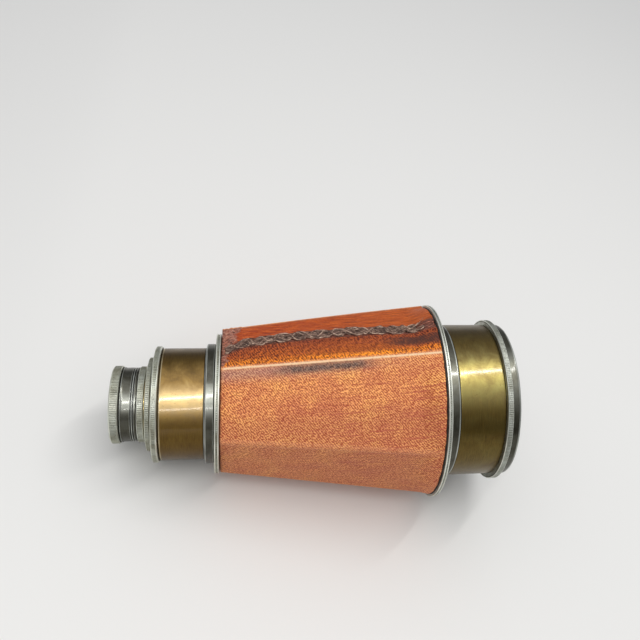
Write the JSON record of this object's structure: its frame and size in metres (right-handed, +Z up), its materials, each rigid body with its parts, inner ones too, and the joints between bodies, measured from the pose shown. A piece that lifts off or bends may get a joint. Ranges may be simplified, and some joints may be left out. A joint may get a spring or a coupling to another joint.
{
  "type": "spyglass",
  "caption": "Telescoping spyglass with a tapered hexagonal leather-covered barrel, turned brass collars, knurled rings, sliding draw tubes, eyepiece, erector and objective lenses.",
  "frame": {"origin": "bottom centre of the closed spyglass's box, on the surface that both ring flanges of the barrel lie on", "axes": "+X towards the objective end, level; +Z up. The optical axis lies in the X-Z plane and rises by 7.8 degrees towards +X, because the objective ring is the larger one. -Y is the side seen in the picture."},
  "size_m": [0.1976, 0.096, 0.0954],
  "materials": {
    "worn_nickel": "nickel-plated brass, knurled and worn to a beige silver",
    "dark_nickel": "dark nickel on brass, brushed round, tarnished",
    "aged_brass": "satin brass, mottled olive with age",
    "tube_brass": "drawn brass, polished by sliding",
    "blackened_brass": "blackened brass, matte",
    "tan_leather": "orange-tan leather, worn pale along its edges",
    "seam_thread": "waxed grey-brown thread",
    "core_wood": "mahogany, dark stained",
    "lens_glass": "polished optical glass"
  },
  "bodies": {
    "barrel": {"end_cap": "worn_nickel", "guide_bush": "tube_brass", "eye_collar": "aged_brass", "eye_band": "dark_nickel", "eye_ring": "worn_nickel", "barrel_core": "core_wood", "leather_cover": "tan_leather", "seam_stitches": "seam_thread", "backing_ring": "blackened_brass", "objective_ring": "worn_nickel", "objective_band": "dark_nickel", "objective_collar": "aged_brass", "light_baffle": "blackened_brass", "objective_cell": "worn_nickel", "flint_lens": "lens_glass", "lens_spacer": "blackened_brass", "crown_lens": "lens_glass", "bezel": "dark_nickel"},
    "draw_1": {"draw_1_ferrule": "worn_nickel", "draw_1_bush": "tube_brass", "draw_1_tube": "tube_brass", "draw_1_stop": "dark_nickel"},
    "draw_2": {"draw_2_ferrule": "worn_nickel", "draw_2_bush": "tube_brass", "draw_2_tube": "tube_brass", "draw_2_stop": "dark_nickel"},
    "draw_3": {"eye_rim": "worn_nickel", "eyepiece_body": "dark_nickel", "eyepiece_cell": "blackened_brass", "eye_lens": "lens_glass", "eye_lens_ring": "blackened_brass", "field_stop": "blackened_brass", "field_lens": "lens_glass", "field_lens_ring": "blackened_brass", "draw_3_tube": "tube_brass", "draw_3_stop": "dark_nickel", "erector_cell": "blackened_brass", "erector_rear_lens": "lens_glass", "erector_stop": "blackened_brass", "erector_front_lens": "lens_glass", "erector_lens_rings": "blackened_brass"}
  },
  "joints": [
    {"name": "draw_1_slide", "type": "slide", "parent": "barrel", "child": "draw_1", "axis": [-0.9907, 0, -0.1358], "range_m": [0, 0.106]},
    {"name": "draw_2_slide", "type": "slide", "parent": "draw_1", "child": "draw_2", "axis": [-0.9907, 0, -0.1358], "range_m": [0, 0.106]},
    {"name": "draw_3_slide", "type": "slide", "parent": "draw_2", "child": "draw_3", "axis": [-0.9907, 0, -0.1358], "range_m": [0, 0.106]}
  ]
}
